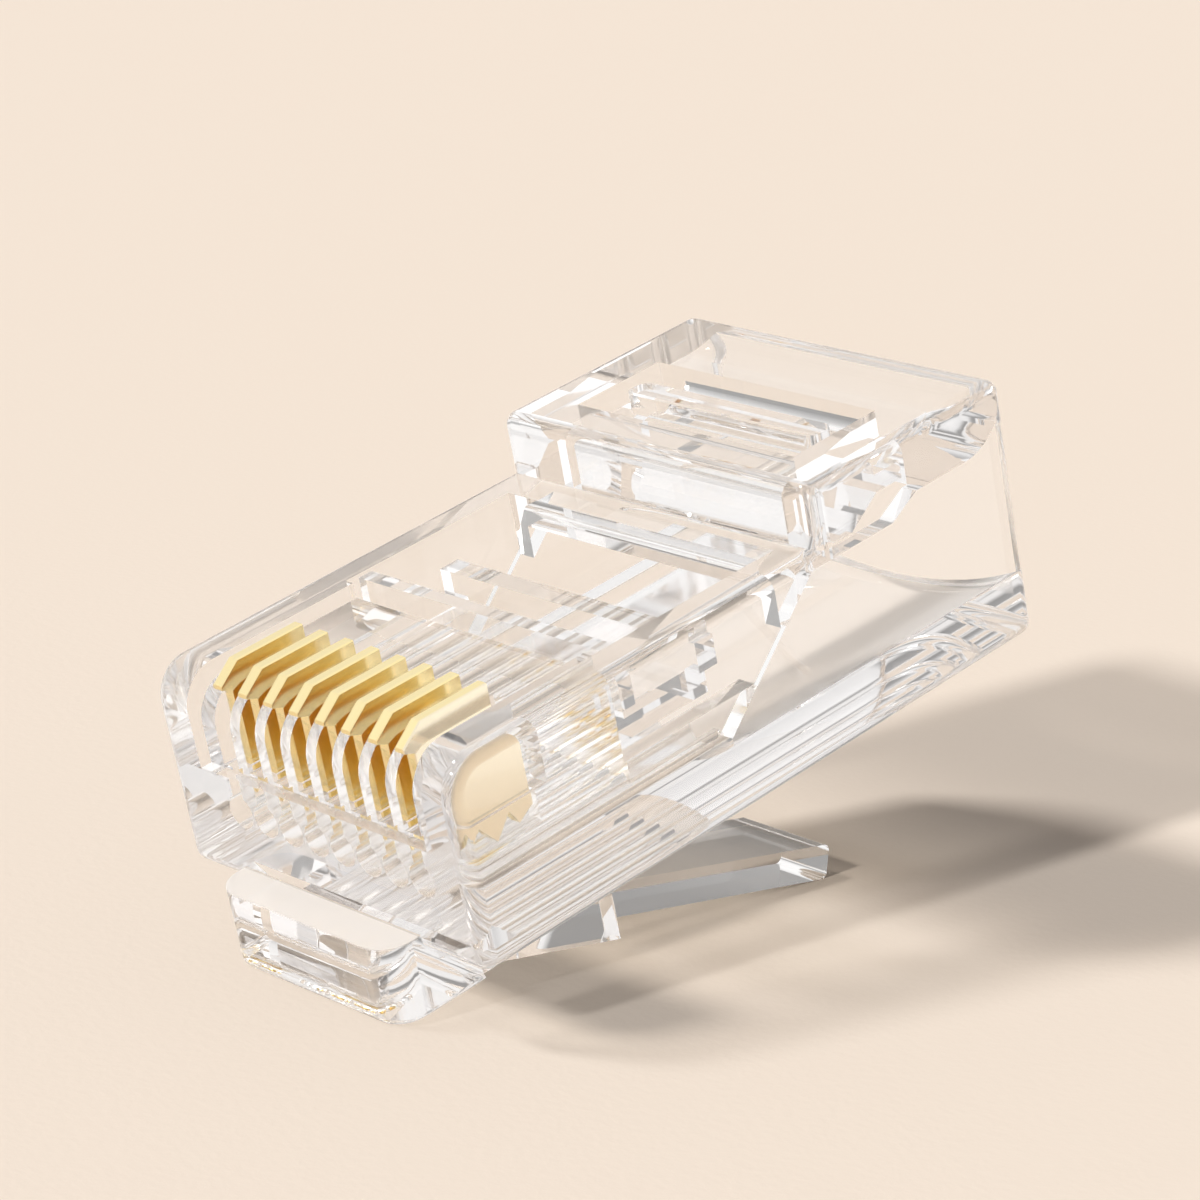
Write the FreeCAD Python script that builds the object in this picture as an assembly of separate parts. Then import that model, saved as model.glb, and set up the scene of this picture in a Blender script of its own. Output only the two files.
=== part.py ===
import FreeCAD, Part
import math
import os

# Eight-way modular plug, uncrimped. Millimetres.
# It is built in the plug's own axes: x runs from the front face to the cable entry, y across,
# z up from the underside to the contact side. At the end it is tilted into the way it rests
# on a table, standing on the nose's front edge and the latch's tip.

# ---- outside of the housing ----
plug_width = 11.68
plug_length = 20.6
front_height = 5.8
rear_height = 7.55
step_x = 12.95
edge_round = 0.4
front_top_round = 1.1

# ---- nose under the front face, where the latch springs from ----
nose_width = 6.9
nose_reach = 1.15
nose_top = 0.5
nose_drop = 1.75
nose_corner_round = 0.85
foot_round = 0.2
root_flare = 0.85
root_flare_drop = 0.4

# ---- latch ----
latch_hinge_x = 2.6
latch_thickness = 1.0
latch_slope = 19.8
latch_seat_radius = 0.95
latch_seat_gap = 0.03
latch_root_width = 6.2
latch_shoulder_x = 6.55
latch_shoulder_extra = 0.25
latch_tab_width = 3.2
latch_tip_x = 15.3
latch_corner_round = 0.3

# ---- contacts and the comb that holds them ----
contact_count = 8
contact_pitch = 1.02
contact_thickness = 0.35
contact_length = 2.55
contact_front_x = 0.8
contact_proud = 0.22
contact_lip_reach = 0.32
contact_chamfer_run = 0.65
contact_chamfer_drop = 0.48
contact_lip_depth = 0.12
contact_bevel = 0.03
tooth_clearance = 0.04
tooth_depth = 0.6
slot_side_clearance = 0.035
slot_end_clearance = 0.12
upper_slot_width = 0.62
lower_slot_height = 0.85
slot_tail = 0.5
comb_half_width = 4.45
comb_front_x = 0.35
comb_top_round = 1.1
comb_drop = 0.45
sill_height = 3.15
front_wall = 0.7

# ---- wire channels ----
channel_radius = 0.47
channel_floor = 1.45
channel_end_x = 9.6
ridge_height = 2.05

# ---- conductor anchor and its window behind the contacts ----
window_x = 5.95
window_end_x = 11.9
window_half_width = 4.75
window_floor = 2.9
anchor_gap = 0.1
conductor_anchor_front_x = 6.3
conductor_anchor_length = 3.35
conductor_anchor_bottom = 3.0
conductor_anchor_web = 0.9
conductor_rib = 0.45
conductor_rear_rib = 0.65
conductor_rear_height = 1.8
conductor_top_drop = 0.05
conductor_shoulder = 0.95
passage_half_width = 4.2
passage_ceiling = 4.9

# ---- cable cavity ----
cavity_half_width = 5.0
cavity_floor = 1.7
cavity_floor_sag = 1.05
cavity_ceiling = 5.55
cavity_front_ceiling = 5.05
cavity_drop_start_x = 16.3
cavity_drop_end_x = 17.3
cavity_round = 0.3
cavity_front_x = 9.5
cavity_front_z = 1.9
cavity_shoulder_x = 13.2
flare_rise = 0.6
flare_round = 1.7

# ---- jacket anchor and its pocket in the raised rear ----
pocket_x = 14.35
pocket_length = 3.15
pocket_half_width = 4.1
jacket_gap = 0.2
jacket_hinge_gap = 0.06
jacket_anchor_bottom = 5.05
jacket_heel_length = 0.8
jacket_hinge_z = 5.75
jacket_web = 0.5
jacket_tongue_length = 1.05
jacket_tongue_top = 6.9
jacket_nose_round = 0.3
jacket_ridge_width = 0.85
jacket_ridge_drop = 0.08
jacket_ridge_inset = 0.4
jacket_ridge_round = 0.35


def vec(x, y, z):
    return FreeCAD.Vector(x, y, z)


def rounded_outline(corners, place):
    """A closed wire through 2-D corners (a, b) or (a, b, radius), each set in space by place."""
    count = len(corners)
    spans = []
    for i, corner in enumerate(corners):
        here = vec(corner[0], corner[1], 0)
        radius = corner[2] if len(corner) > 2 else 0
        if radius == 0:
            spans.append((here, None, here))
            continue
        back = vec(*corners[i - 1][:2], 0) - here
        ahead = vec(*corners[(i + 1) % count][:2], 0) - here
        half = back.getAngle(ahead) / 2
        back.normalize()
        ahead.normalize()
        reach = radius / math.tan(half)
        inward = back + ahead
        inward.normalize()
        middle = here + inward * (radius / math.sin(half) - radius)
        spans.append((here + back * reach, middle, here + ahead * reach))
    edges = []
    for i, (start, middle, end) in enumerate(spans):
        if middle is not None:
            edges.append(Part.Arc(place(start), place(middle), place(end)).toShape())
        following = spans[(i + 1) % count][0]
        if end.distanceToPoint(following) > 1e-6:
            edges.append(Part.LineSegment(place(end), place(following)).toShape())
    return Part.Wire(edges)


def side_plate(corners, low_y, high_y):
    """A side outline in x and z, run across the plug from low_y to high_y."""
    wire = rounded_outline(corners, lambda p: vec(p.x, low_y, p.y))
    return Part.Face(wire).extrude(vec(0, high_y - low_y, 0))


def plan_plate(corners, low_z, high_z):
    """A plan outline in x and y, run upwards from low_z to high_z."""
    wire = rounded_outline(corners, lambda p: vec(p.x, p.y, low_z))
    return Part.Face(wire).extrude(vec(0, 0, high_z - low_z))


def cross_plate(corners, low_x, high_x):
    """A cross section in y and z, run along the plug from low_x to high_x."""
    wire = rounded_outline(corners, lambda p: vec(low_x, p.x, p.y))
    return Part.Face(wire).extrude(vec(high_x - low_x, 0, 0))


def block(low_x, high_x, half_width, low_z, high_z, mid_y=0):
    return Part.makeBox(high_x - low_x, 2 * half_width, high_z - low_z,
                        vec(low_x, mid_y - half_width, low_z))


def contact_places():
    """The middle of each contact across the plug, from pin 1."""
    first = -contact_pitch * (contact_count - 1) / 2
    return [first + contact_pitch * i for i in range(contact_count)]


def past(size):
    """A coordinate safely outside the plug, for cutters that break through a face."""
    return size + plug_width


# ---- levels worked out from the sizes above ----
nose_low = -nose_drop
latch_hinge_z = nose_low + latch_thickness / 2
channel_mid = channel_floor + channel_radius
channel_top = channel_floor + 2 * channel_radius
comb_top = front_height - comb_drop
contact_top = front_height + contact_proud
contact_rear_x = contact_front_x + contact_length
slot_rear_x = contact_rear_x + slot_tail
lower_slot_top = channel_top + lower_slot_height


def housing_block():
    """The stepped outside with its long and upright edges rounded."""
    half = plug_width / 2
    shell = side_plate([(0, 0), (plug_length, 0), (plug_length, rear_height),
                        (step_x, rear_height), (step_x, front_height),
                        (0, front_height, front_top_round)], -half, half)

    def is_rounded(edge):
        middle = edge.CenterOfMass
        on_side = abs(abs(middle.y) - half) < 1e-6
        in_step = abs(middle.x - step_x) < 1e-6 and abs(middle.z - front_height) < 1e-6
        on_front_top = abs(middle.y) < 1e-6 and middle.x < front_top_round + 1e-6 and middle.z > edge_round
        return on_side or not (in_step or on_front_top)

    return shell.makeFillet(edge_round, [e for e in shell.Edges if is_rounded(e)])


def nose():
    """The block that stands out under the front face, flared where it joins the underside."""
    half = nose_width / 2
    rear = latch_hinge_x - math.sqrt(latch_seat_radius ** 2 - (latch_thickness / 2) ** 2)
    solid = plan_plate([(-nose_reach, -half, nose_corner_round), (rear, -half),
                        (rear, half), (-nose_reach, half, nose_corner_round)], nose_low, nose_top)
    low_edges = [e for e in solid.Edges
                 if abs(e.CenterOfMass.z - nose_low) < 1e-6 and e.CenterOfMass.x < rear - 1e-6]
    solid = solid.makeFillet(foot_round, low_edges)
    flare = cross_plate([(-half - root_flare, edge_round), (-half - root_flare, 0),
                         (-half, -root_flare_drop), (half, -root_flare_drop),
                         (half + root_flare, 0), (half + root_flare, edge_round)], edge_round, rear)
    seat = Part.makeCylinder(latch_seat_radius + latch_seat_gap, past(nose_width),
                             vec(latch_hinge_x, -past(nose_width) / 2, latch_hinge_z), vec(0, 1, 0))
    return solid.fuse(flare).cut(seat)


def comb_opening():
    """What is open above the comb and in front of its rounded dividers."""
    return side_plate([(-past(0), sill_height), (comb_front_x, sill_height),
                       (comb_front_x, comb_top, comb_top_round), (window_x, comb_top),
                       (window_x, past(front_height)), (-past(0), past(front_height))],
                      -comb_half_width, comb_half_width)


def contact_slot(mid_y):
    """One contact's slot: wide between the dividers, close-fitting below, down to its channel."""
    close = contact_thickness / 2 + slot_side_clearance
    upper = block(-past(0), slot_rear_x, upper_slot_width / 2, lower_slot_top, past(front_height), mid_y)
    sill_cut = block(-past(0), front_wall, upper_slot_width, 0, sill_height, mid_y)
    lower = block(front_wall, contact_rear_x + slot_end_clearance, close, channel_mid,
                  lower_slot_top, mid_y)
    return upper.cut(sill_cut).fuse(lower)


def wire_channel(mid_y):
    return Part.makeCylinder(channel_radius, channel_end_x - front_wall,
                             vec(front_wall, mid_y, channel_mid), vec(1, 0, 0))


def anchor_window():
    """The window behind the contacts, and the passage under it that the wires run through."""
    window = block(window_x, window_end_x, window_half_width, window_floor, past(front_height))
    trough = block(conductor_anchor_front_x, window_end_x, passage_half_width, ridge_height,
                   window_floor + anchor_gap)
    passage = block(channel_end_x - anchor_gap, cavity_shoulder_x, passage_half_width, channel_floor,
                    passage_ceiling)
    return window.fuse([trough, passage])


def cable_cavity():
    """The cable's space: a dished floor, a sloped front, a stepped ceiling and a flared mouth."""
    half = cavity_half_width
    top = cavity_ceiling + flare_rise
    mouth_x = past(plug_length)
    side = side_plate([(cavity_front_x, 0), (mouth_x, 0), (mouth_x, top), (plug_length, top),
                       (plug_length - flare_rise, cavity_ceiling, flare_round),
                       (cavity_drop_end_x, cavity_ceiling), (cavity_drop_start_x, cavity_front_ceiling),
                       (cavity_shoulder_x, cavity_front_ceiling, cavity_round),
                       (cavity_front_x, cavity_front_z)], -half, half)
    dish = Part.Arc(vec(cavity_front_x, -half, cavity_floor),
                    vec(cavity_front_x, 0, cavity_floor - cavity_floor_sag),
                    vec(cavity_front_x, half, cavity_floor)).toShape()
    rim = Part.makePolygon([vec(cavity_front_x, half, cavity_floor), vec(cavity_front_x, half, top),
                            vec(cavity_front_x, -half, top), vec(cavity_front_x, -half, cavity_floor)])
    section = Part.Face(Part.Wire([dish] + rim.Edges)).extrude(vec(mouth_x - cavity_front_x, 0, 0))
    return side.common(section)


def jacket_pocket():
    return block(pocket_x, pocket_x + pocket_length, pocket_half_width,
                 jacket_anchor_bottom - anchor_gap, past(rear_height))


def housing():
    solid = housing_block().fuse(nose())
    cutters = [comb_opening(), anchor_window(), cable_cavity(), jacket_pocket()]
    for mid_y in contact_places():
        cutters.append(contact_slot(mid_y))
        cutters.append(wire_channel(mid_y))
    return solid.cut(cutters).removeSplitter()


def latch():
    """The sprung lever: a wide root with square shoulders, then the narrow thumb tab."""
    slope = math.tan(math.radians(latch_slope))
    rise = latch_thickness / 2
    start = latch_hinge_x - math.sqrt(latch_seat_radius ** 2 - rise ** 2)
    upright = latch_thickness / math.cos(math.radians(latch_slope))
    low = latch_hinge_z - rise
    high = latch_hinge_z + rise

    def under(x):
        return low - slope * (x - latch_hinge_x)

    def over(x):
        return under(x) + upright

    tip_top_x = latch_tip_x + latch_thickness * math.sin(math.radians(latch_slope))
    corners = [(start, high), (latch_hinge_x, high),
               (latch_shoulder_x, over(latch_shoulder_x) + latch_shoulder_extra),
               (latch_shoulder_x, over(latch_shoulder_x)),
               (tip_top_x, over(tip_top_x), foot_round), (latch_tip_x, under(latch_tip_x), foot_round),
               (latch_hinge_x, low), (start, low)]
    half = latch_root_width / 2
    side = side_plate(corners, -half, half)
    knuckle = Part.makeCylinder(latch_seat_radius, latch_root_width,
                                vec(latch_hinge_x, -half, latch_hinge_z), vec(0, 1, 0))
    knuckle = knuckle.common(block(start - latch_seat_radius, start, half, low, high))
    tab = latch_tab_width / 2
    plan = plan_plate([(start - latch_seat_radius, -half), (latch_shoulder_x, -half, latch_corner_round / 2),
                       (latch_shoulder_x, -tab, latch_corner_round),
                       (past(latch_tip_x), -tab), (past(latch_tip_x), tab),
                       (latch_shoulder_x, tab, latch_corner_round),
                       (latch_shoulder_x, half, latch_corner_round / 2),
                       (start - latch_seat_radius, half)], under(tip_top_x) - latch_thickness, 0)
    return side.fuse(knuckle).common(plan).removeSplitter()


def contact(mid_y):
    """A flat blade with a chamfered, lipped front and three teeth that pierce its wire."""
    lip_x = contact_front_x - contact_lip_reach
    lip_top = contact_top - contact_chamfer_drop
    lip_low = lip_top - contact_lip_depth
    point = channel_top + tooth_clearance
    root = point + tooth_depth
    step = contact_length / 10
    rear = contact_rear_x
    corners = [(rear, contact_top), (lip_x + contact_chamfer_run, contact_top),
               (lip_x, lip_top), (lip_x, lip_low),
               (contact_front_x, lip_low - contact_lip_depth),
               (contact_front_x, root), (contact_front_x + step, point),
               (contact_front_x + 3 * step, root), (contact_front_x + 5 * step, point),
               (contact_front_x + 7 * step, root), (contact_front_x + 8 * step, point + tooth_depth / 4),
               (rear, root - tooth_depth / 4)]
    half = contact_thickness / 2
    blade = side_plate(corners, mid_y - half, mid_y + half)
    top_edges = [e for e in blade.Edges
                 if e.CenterOfMass.z > lip_top and abs(abs(e.CenterOfMass.y - mid_y) - half) < 1e-6
                 and e.CenterOfMass.x < rear - contact_bevel]
    return blade.makeChamfer(contact_bevel, top_edges)


def conductor_anchor():
    """The bar that is pressed onto the eight wires: two ribs joined by a web."""
    front = conductor_anchor_front_x
    rear = front + conductor_anchor_length
    bottom = conductor_anchor_bottom
    web_top = bottom + conductor_anchor_web
    top = front_height - conductor_top_drop
    profile = [(front, bottom), (rear, bottom), (rear, bottom + conductor_rear_height),
               (rear - conductor_rear_rib, bottom + conductor_rear_height),
               (rear - conductor_rear_rib, web_top), (front + conductor_rib, web_top),
               (front + conductor_rib, top), (front, top)]
    wide = window_half_width - anchor_gap
    narrow = passage_half_width - anchor_gap
    shoulder = bottom + conductor_shoulder
    solid = side_plate(profile, -wide, wide)
    for side in (-1, 1):
        trim = block(front - anchor_gap, past(rear), (past(wide) - narrow) / 2, bottom - anchor_gap,
                     shoulder, side * (past(wide) + narrow) / 2)
        solid = solid.cut(trim)
    return solid


def jacket_anchor():
    """The wedge that grips the cable's jacket: a tongue under a ridge, hinged by its rear web."""
    front = pocket_x + jacket_gap
    rear = pocket_x + pocket_length - jacket_hinge_gap
    bottom = jacket_anchor_bottom
    ridge_front = front + jacket_tongue_length
    ridge_rear = ridge_front + jacket_ridge_width
    half = pocket_half_width - anchor_gap
    tongue = side_plate([(front, bottom, jacket_nose_round / 2), (front + jacket_heel_length, bottom),
                         (ridge_rear, jacket_hinge_z), (rear, jacket_hinge_z),
                         (rear, jacket_hinge_z + jacket_web), (ridge_rear, jacket_hinge_z + jacket_web),
                         (ridge_rear, jacket_tongue_top), (front, jacket_tongue_top, jacket_nose_round)],
                        -half, half)
    end = half - jacket_ridge_inset
    turn = jacket_ridge_round
    ridge = plan_plate([(ridge_front, -end, turn), (ridge_rear, -end, turn), (ridge_rear, end, turn),
                        (ridge_front, end, turn)], jacket_hinge_z + jacket_web,
                       rear_height - jacket_ridge_drop)
    return tongue.fuse(ridge).removeSplitter()


def rest_tilt():
    """The angle that brings the nose's front edge and the latch's tip down to one level."""
    nose_foot = vec(-nose_reach + foot_round, 0, nose_low + foot_round)
    slope = math.radians(latch_slope)
    tip_low = latch_hinge_z - latch_thickness / 2 - math.tan(slope) * (latch_tip_x - latch_hinge_x)
    tip_foot = vec(latch_tip_x, 0, tip_low) + foot_round * vec(
        math.sin(slope) - math.cos(slope), 0, math.cos(slope) + math.sin(slope))
    run = tip_foot - nose_foot
    return math.degrees(math.atan2(-run.z, run.x))


def lay_down(shapes):
    """Tilt every piece into the resting pose, with the origin under the middle of the plug."""
    tilted = {name: shape.rotated(vec(0, 0, 0), vec(0, 1, 0), -rest_tilt())
              for name, shape in shapes.items()}
    bound = Part.makeCompound(list(tilted.values())).optimalBoundingBox(False)
    shift = vec(-(bound.XMin + bound.XMax) / 2, 0, -bound.ZMin)
    for shape in tilted.values():
        shape.translate(shift)
    return tilted


def build():
    shapes = {"housing": housing(), "latch": latch(), "conductor_anchor": conductor_anchor(),
              "jacket_anchor": jacket_anchor()}
    for number, mid_y in enumerate(contact_places(), start=1):
        shapes[f"contact_{number}"] = contact(mid_y)
    return lay_down(shapes)


os.makedirs("parts", exist_ok=True)
for node, shape in build().items():
    shape.exportStep(f"parts/{node}.step")
    print(node, "valid", shape.isValid(), "solids", len(shape.Solids), "volume", round(shape.Volume, 3))
print("tilt", round(rest_tilt(), 3))
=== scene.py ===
import math

import bpy
from mathutils import Matrix, Vector


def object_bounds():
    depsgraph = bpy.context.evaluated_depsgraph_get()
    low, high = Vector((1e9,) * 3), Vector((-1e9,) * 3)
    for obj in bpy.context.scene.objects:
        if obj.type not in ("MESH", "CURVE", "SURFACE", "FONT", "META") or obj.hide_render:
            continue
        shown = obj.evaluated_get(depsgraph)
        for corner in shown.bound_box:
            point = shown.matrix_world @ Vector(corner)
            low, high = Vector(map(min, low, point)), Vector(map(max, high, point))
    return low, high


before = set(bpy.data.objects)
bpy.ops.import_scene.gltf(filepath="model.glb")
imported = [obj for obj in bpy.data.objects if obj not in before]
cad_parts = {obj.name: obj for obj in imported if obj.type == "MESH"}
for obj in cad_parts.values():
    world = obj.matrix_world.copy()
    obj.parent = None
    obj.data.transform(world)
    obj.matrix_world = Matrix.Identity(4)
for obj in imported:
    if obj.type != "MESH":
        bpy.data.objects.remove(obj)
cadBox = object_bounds()
plugMiddle = sum((Vector(corner) for corner in cadBox), Vector()) / 2
print("frame loaded:", len(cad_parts), "nodes")


class Sock:  # one output of a node, usable in sums
    def __init__(self, tree, socket):
        self.tree = tree
        self.socket = socket

    def calc(self, operation, first, second):
        node = self.tree.nodes.new("ShaderNodeMath")
        node.operation = operation
        for slot, value in zip(node.inputs, (first, second)):
            if isinstance(value, Sock):
                self.tree.links.new(value.socket, slot)
            else:
                slot.default_value = value
        return Sock(self.tree, node.outputs[0])

    def held(self):  # kept between 0 and 1
        result = self.calc("ADD", self, 0.0)
        result.socket.node.use_clamp = True
        return result

    def __add__(self, other):
        return self.calc("ADD", self, other)

    def __mul__(self, other):
        return self.calc("MULTIPLY", self, other)

    def __sub__(self, other):
        return self.calc("SUBTRACT", self, other)

    def __rsub__(self, other):
        return self.calc("SUBTRACT", other, self)

    def __truediv__(self, other):
        return self.calc("DIVIDE", self, other)

    def __abs__(self):
        return self.calc("ABSOLUTE", self, 0.0)

    __radd__ = __add__
    __rmul__ = __mul__


class ShaderTree:  # the nodes of one material, world or lamp
    def __init__(self, owner):
        owner.use_nodes = True
        self.tree = owner.node_tree
        self.tree.nodes.clear()

    def add(self, kind, settings=None, sockets=None):
        node = self.tree.nodes.new(kind)
        for name, value in (settings or {}).items():
            if name == "stops":
                ramp = node.color_ramp.elements
                while len(ramp) < len(value):
                    ramp.new(1.0)
                for stop, (place, colour) in zip(ramp, value):
                    stop.position = place
                    stop.color = (*colour, 1.0)
            else:
                setattr(node, name, value)
        for name, value in (sockets or {}).items():
            if isinstance(value, Sock):
                self.tree.links.new(value.socket, node.inputs[name])
            else:
                node.inputs[name].default_value = value
        return node

    def out(self, node, name=0):
        return Sock(self.tree, node.outputs[name])


def dress(nodeNames, material):  # gives CAD nodes their finish
    for name in nodeNames:
        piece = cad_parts[name]
        piece.data.materials.clear()
        piece.data.materials.append(material)


# clear polycarbonate of the housing, latch and anchors
clearPlastic = {
    "nodes": ["housing", "latch", "conductor_anchor", "jacket_anchor"],
    "tint": (0.99, 0.99, 0.99, 1.0),
    "ior": 1.4,
    "roughness": 0.01,
    "clearness": 1.0,
    "lightShade": (0.985, 0.98, 0.97, 1.0),
    "deepShade": (0.22, 0.2, 0.18, 1.0),
    "edgeShade": 0.14,
    "slantBlend": 0.5,
    "wallShade": 0.22,
    "wallStart": 0.0046,
    "rearShade": 0.95,
    "rearStart": 0.0115,
    "rearRun": 0.006,
    "depthColour": (0.76, 0.735, 0.73, 1.0),
    "depthDensity": 38.0,
    "mattness": 0.14,
    "channelsLow": 0.0009,
    "channelsHigh": 0.0026,
    "channelsReach": 0.0046,
    "channelsStart": 0.0004,
    # painted highlight on the top of the nose: a white patch standing for light that the clear top
    # would mirror and pass
    "paintedHighlight": (0.95, 0.94, 0.93, 1.0),
    "paintedHighlightTranslucency": 0.3,
    "paintedHighlightShare": 0.85,
    "ledgeBottom": 0.00042,
    "ledgeEnd": -0.0001,
    "fade": 0.0001,
}

# how the plug's own axes climb from the table, and where its front's lower edge is
plugPlace = {"tilt": 15.643, "frontX": -0.009218, "frontZ": 0.001949}


def plugAxes(shader):  # distance from the front, across and up, in the plug's own axes
    place = shader.add("ShaderNodeTexCoord")
    parts = shader.add("ShaderNodeSeparateXYZ", None, {0: shader.out(place, "Object")})
    along, across, up = (shader.out(parts, name) for name in "XYZ")
    along, up = along - plugPlace["frontX"], up - plugPlace["frontZ"]
    tilt = math.radians(plugPlace["tilt"])
    length = along * math.cos(tilt) + up * math.sin(tilt)
    height = up * math.cos(tilt) - along * math.sin(tilt)
    return length, across, height


def climb(value, start, run):  # 0 up to the start, then rises to 1 over the run
    return ((value - start) / run).held()


def channelMask(axes, look):  # 1 on the walls of the wire channels, 0 on the outside
    length, across, height = axes
    above = climb(height, look["channelsLow"], look["fade"])
    below = 1 - climb(height, look["channelsHigh"], look["fade"])
    within = 1 - climb(abs(across), look["channelsReach"], look["fade"])
    behind = climb(length, look["channelsStart"], look["fade"])
    return above * below * within * behind


def paintedHighlightMask(axes, look):  # 1 on the top of the nose, where a white highlight is painted, 0 elsewhere
    length, _, height = axes
    above = climb(height, look["ledgeBottom"], look["fade"])
    return above * (1 - climb(length, look["ledgeEnd"], look["fade"]))


def shadeMask(shader, axes, look):  # how much of the lamps' light each face holds back
    length, across, _ = axes
    slant = shader.add("ShaderNodeLayerWeight", None, {"Blend": look["slantBlend"]})
    rearward = climb(length, look["rearStart"], look["rearRun"]) * look["rearShade"]
    walls = climb(abs(across), look["wallStart"], look["fade"]) * look["wallShade"]
    return (rearward + walls + shader.out(slant, "Facing") * look["edgeShade"]).held()


def makeClearPlastic(look):
    material = bpy.data.materials.new("clearPolycarbonateAndPaintedHighlight")
    shader = ShaderTree(material)
    axes = plugAxes(shader)
    clear = shader.add("ShaderNodeBsdfPrincipled", None, {
        "Base Color": look["tint"],
        "Roughness": channelMask(axes, look) * look["mattness"] + look["roughness"],
        "IOR": look["ior"],
        "Transmission Weight": look["clearness"],
    })
    # painted highlight: a white diffuse and translucent patch on the top of the nose, mixed over
    # the clear plastic
    sheen = shader.add("ShaderNodeBsdfDiffuse", None, {"Color": look["paintedHighlight"]})
    glow = shader.add("ShaderNodeBsdfTranslucent", None, {"Color": look["paintedHighlight"]})
    paintedHighlight = shader.add("ShaderNodeMixShader", None, {
        0: look["paintedHighlightTranslucency"], 1: shader.out(sheen), 2: shader.out(glow)})
    body = shader.add("ShaderNodeMixShader", None, {
        0: paintedHighlightMask(axes, look) * look["paintedHighlightShare"], 1: shader.out(clear), 2: shader.out(paintedHighlight)})
    # light that crosses to the paper, which a clear solid would otherwise stop
    light = shader.add("ShaderNodeBsdfTransparent", None, {"Color": look["lightShade"]})
    deep = shader.add("ShaderNodeBsdfTransparent", None, {"Color": look["deepShade"]})
    passed = shader.add("ShaderNodeMixShader", None, {
        0: shadeMask(shader, axes, look), 1: shader.out(light), 2: shader.out(deep)})
    path = shader.add("ShaderNodeLightPath")
    mixed = shader.add("ShaderNodeMixShader", None, {
        0: shader.out(path, "Is Shadow Ray") + shader.out(path, "Is Diffuse Ray"),
        1: shader.out(body),
        2: shader.out(passed),
    })
    depth = shader.add("ShaderNodeVolumeAbsorption", None, {
        "Color": look["depthColour"], "Density": look["depthDensity"]})
    shader.add("ShaderNodeOutputMaterial", None, {
        "Surface": shader.out(mixed), "Volume": shader.out(depth)})
    return material


dress(clearPlastic["nodes"], makeClearPlastic(clearPlastic))

# gold-plated blades, paler on the outer faces of the first and the last: a painted veil standing
# for light scattered in the plastic wall before them
goldBlades = {
    "count": 8,
    "colour": (0.96, 0.81, 0.44, 1.0),
    "paintedVeilColour": (0.9, 0.81, 0.63, 1.0),
    "paintedVeilStart": 0.00366,
    "paintedVeilRun": 0.00008,
    "roughness": 0.2,
}


def makeGold(look):
    material = bpy.data.materials.new("goldPlateAndPaintedVeil")
    shader = ShaderTree(material)
    across = plugAxes(shader)[1]
    # painted veil: the outer faces of the end blades are mixed toward a pale colour for light
    # scattered in the wall before them
    paintedVeilMask = climb(abs(across), look["paintedVeilStart"], look["paintedVeilRun"])
    platingAndPaintedVeil = shader.add("ShaderNodeMix", {"data_type": "RGBA"}, {  # 6 and 7 are its colours
        0: paintedVeilMask, 6: look["colour"], 7: look["paintedVeilColour"]})
    metal = shader.add("ShaderNodeBsdfPrincipled", None, {
        "Base Color": shader.out(platingAndPaintedVeil, 2),
        "Metallic": 1.0,
        "Roughness": look["roughness"],
    })
    shader.add("ShaderNodeOutputMaterial", None, {"Surface": shader.out(metal)})
    return material


dress([f"contact_{i + 1}" for i in range(goldBlades["count"])], makeGold(goldBlades))
print("plug dressed")

# cream paper that the plug rests on
paper = {
    "side": 1.6,
    "colour": (0.9, 0.79, 0.68, 1.0),
    "roughness": 0.9,
    "gloss": 0.1,
    "grainScale": 3200.0,
    "grainDetail": 4.0,
    "grainHeight": 0.00002,
    "grainStrength": 0.5,
}


def makePaper(look):
    half = look["side"] / 2
    mesh = bpy.data.meshes.new("paper")
    corners = [(-half, -half, 0), (half, -half, 0), (half, half, 0), (-half, half, 0)]
    mesh.from_pydata(corners, [], [(0, 1, 2, 3)])
    sheet = bpy.data.objects.new("paper", mesh)
    bpy.context.scene.collection.objects.link(sheet)
    material = bpy.data.materials.new("creamPaper")
    shader = ShaderTree(material)
    place = shader.add("ShaderNodeTexCoord")
    grain = shader.add("ShaderNodeTexNoise", None, {
        "Vector": shader.out(place, "Object"),
        "Scale": look["grainScale"],
        "Detail": look["grainDetail"],
    })
    bump = shader.add("ShaderNodeBump", None, {
        "Strength": look["grainStrength"],
        "Distance": look["grainHeight"],
        "Height": shader.out(grain, "Fac"),
    })
    surface = shader.add("ShaderNodeBsdfPrincipled", None, {
        "Base Color": look["colour"],
        "Roughness": look["roughness"],
        "Specular IOR Level": look["gloss"],
        "Normal": shader.out(bump),
    })
    shader.add("ShaderNodeOutputMaterial", None, {"Surface": shader.out(surface)})
    mesh.materials.append(material)


makePaper(paper)
print("paper laid")

# soft light all round, paler overhead, that the plastic and the gold mirror
surround = {
    "lightLevel": 0.17,
    "lightColour": (0.96, 0.96, 1.0, 1.0),
    "seen": [(0.0, (0.9, 0.86, 0.82)), (0.575, (0.97, 0.955, 0.94)), (0.61, (0.33, 0.325, 0.32)),
             (0.655, (0.39, 0.385, 0.38)), (0.72, (0.9, 0.895, 0.89)), (0.85, (1.08, 1.07, 1.06))],
    "backdrop": (0.93, 0.805, 0.685, 1.0),
    "shownLevel": 1.0,
}


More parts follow.
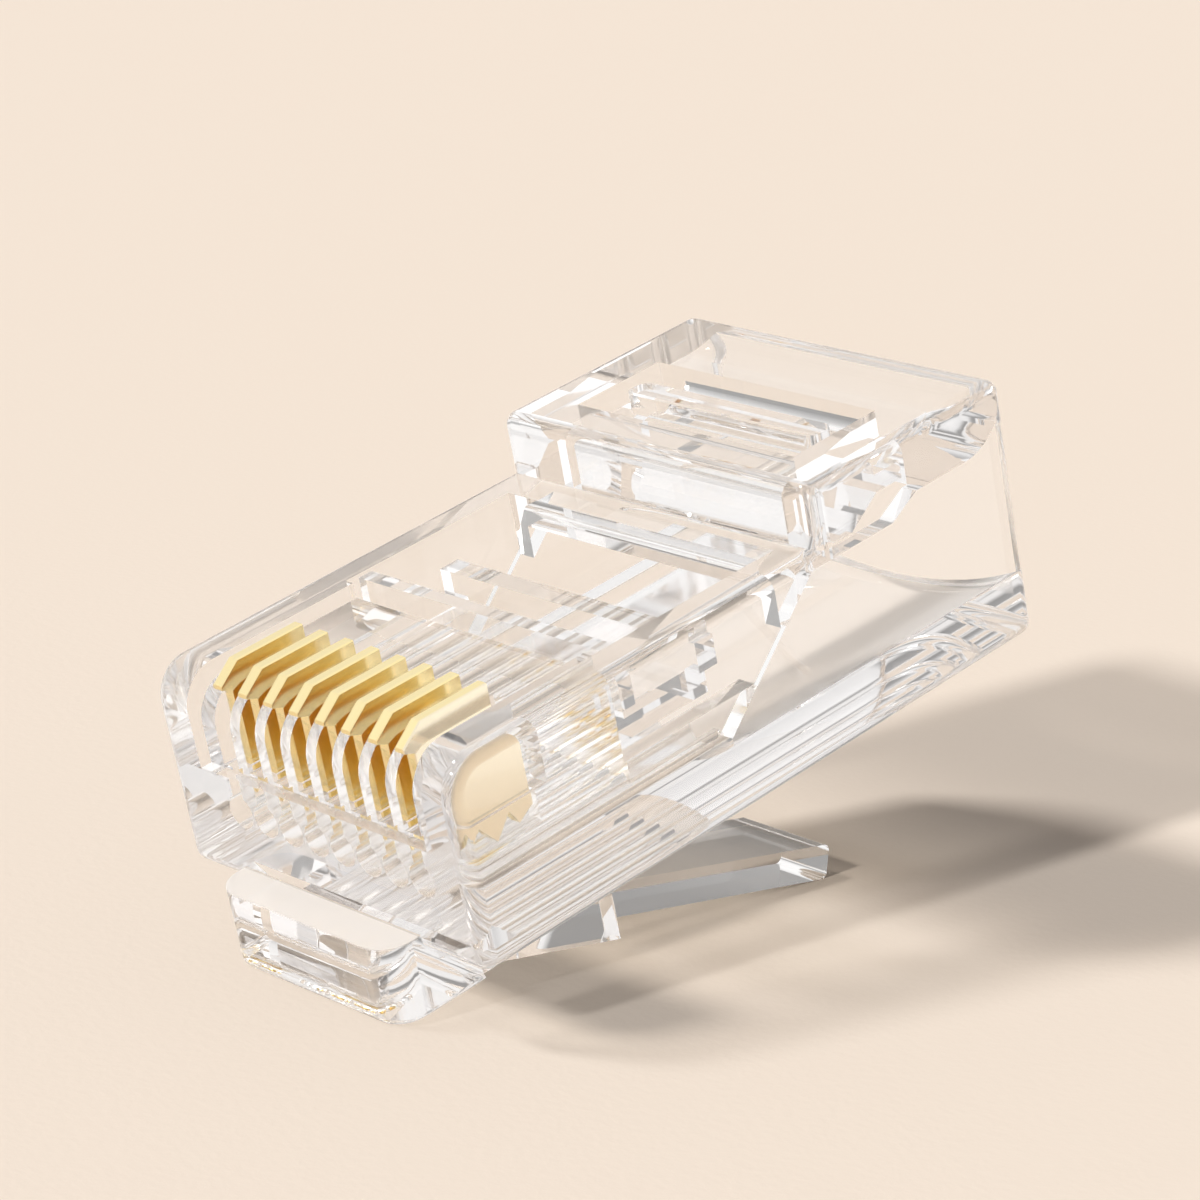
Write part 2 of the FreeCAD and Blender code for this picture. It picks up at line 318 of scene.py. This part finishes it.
def makeSurround(look):
    world = bpy.data.worlds.new("surround")
    bpy.context.scene.world = world
    shader = ShaderTree(world)
    path = shader.add("ShaderNodeLightPath")
    place = shader.add("ShaderNodeTexCoord")
    parts = shader.add("ShaderNodeSeparateXYZ", None, {0: shader.out(place, "Generated")})
    height = shader.out(parts, "Z") * 0.5 + 0.5  # 0 straight down, 1 straight up
    mirrored = shader.add("ShaderNodeValToRGB", {"stops": look["seen"]}, {0: height})
    lit = shader.add("ShaderNodeBackground", None, {
        "Color": look["lightColour"], "Strength": look["lightLevel"]})
    shown = shader.add("ShaderNodeBackground", None, {
        "Color": shader.out(mirrored), "Strength": look["shownLevel"]})
    plain = shader.add("ShaderNodeBackground", None, {
        "Color": look["backdrop"], "Strength": look["shownLevel"]})
    clearRay = shader.out(path, "Is Glossy Ray") + shader.out(path, "Is Transmission Ray")
    first = shader.add("ShaderNodeMixShader", None, {
        0: clearRay, 1: shader.out(lit), 2: shader.out(shown)})
    second = shader.add("ShaderNodeMixShader", None, {
        0: shader.out(path, "Is Camera Ray"), 1: shader.out(first), 2: shader.out(plain)})
    shader.add("ShaderNodeOutputWorld", None, {"Surface": shader.out(second)})


makeSurround(surround)

# lamps: a low key from the nose end that throws the long shadow, and a soft one from the far side
keyLamp = {
    "travel": (1.65, 0.2, -1.0),
    "distance": 0.3,
    "softness": 5.0,
    "strength": 2.3,
    "colour": (1.0, 0.975, 0.95),
}
farLamp = {
    "travel": (0.6, -0.5, -1.0),
    "distance": 0.3,
    "softness": 10.0,
    "strength": 1.88,
    "colour": (1.0, 0.975, 0.95),
}


def makeLamp(name, look):
    lamp = bpy.data.lights.new(name, "SUN")
    lamp.angle = math.radians(look["softness"])
    lamp.energy = look["strength"]
    lamp.color = look["colour"]
    holder = bpy.data.objects.new(name, lamp)
    bpy.context.scene.collection.objects.link(holder)
    travel = Vector(look["travel"]).normalized()
    holder.location = plugMiddle - travel * look["distance"]
    holder.rotation_euler = travel.to_track_quat("-Z", "Y").to_euler()


makeLamp("key", keyLamp)
makeLamp("far", farLamp)

# white card beside the plug, seen only in its walls and in the gold
card = {
    "low": (-0.012, -0.021, 0.0),
    "high": (0.036, -0.021, 0.016),
    "colour": (1.0, 0.985, 0.97, 1.0),
    "strength": 1.3,
}


def makeCard(look):
    low, high = look["low"], look["high"]
    mesh = bpy.data.meshes.new("card")
    corners = [low, (high[0], high[1], low[2]), high, (low[0], low[1], high[2])]
    mesh.from_pydata(corners, [], [(0, 1, 2, 3)])
    sheet = bpy.data.objects.new("card", mesh)
    bpy.context.scene.collection.objects.link(sheet)
    material = bpy.data.materials.new("whiteCard")
    shader = ShaderTree(material)
    glow = shader.add("ShaderNodeEmission", None, {
        "Color": look["colour"], "Strength": look["strength"]})
    shader.add("ShaderNodeOutputMaterial", None, {"Surface": shader.out(glow)})
    mesh.materials.append(material)
    sheet.visible_camera = False
    sheet.visible_diffuse = False
    sheet.visible_shadow = False


makeCard(card)
print("lamps and card set")

# camera low over the nose's near corner
viewpoint = {
    "azimuth": -43.62,
    "elevation": 14.29,
    "roll": 1.65,
    "distance": 0.10312,
    "aim": (-0.00029, 0.0, 0.00885),
    "lens": 117.22,
    "sensorWidth": 36.0,
    "nearest": 0.001,
}


def makeCamera(look):
    turn, lift = math.radians(look["azimuth"]), math.radians(look["elevation"])
    back = Vector((
        math.sin(turn) * math.cos(lift), -math.cos(turn) * math.cos(lift), math.sin(lift)))
    right = Vector((math.cos(turn), math.sin(turn), 0.0))
    up = back.cross(right)
    data = bpy.data.cameras.new("view")
    data.lens = look["lens"]
    data.sensor_width = look["sensorWidth"]
    data.clip_start = look["nearest"]
    camera = bpy.data.objects.new("view", data)
    bpy.context.scene.collection.objects.link(camera)
    axes = Matrix((right, up, back)).transposed().to_4x4()
    spin = Matrix.Rotation(math.radians(look["roll"]), 4, "Z")
    place = Vector(look["aim"]) + back * look["distance"]
    camera.matrix_world = Matrix.Translation(place) @ axes @ spin
    bpy.context.scene.camera = camera


makeCamera(viewpoint)

# deep enough paths for light to cross every wall
lightPaths = {"all": 40, "clear": 40, "gloss": 40, "soft": 4}


def setLightPaths(depth):
    cycles = bpy.context.scene.cycles
    cycles.max_bounces = depth["all"]
    cycles.transmission_bounces = depth["clear"]
    cycles.transparent_max_bounces = depth["clear"]
    cycles.glossy_bounces = depth["gloss"]
    cycles.diffuse_bounces = depth["soft"]
    cycles.caustics_refractive = False
    cycles.caustics_reflective = False


setLightPaths(lightPaths)
bpy.context.scene.view_settings.view_transform = "Standard"
print("camera and light paths set")
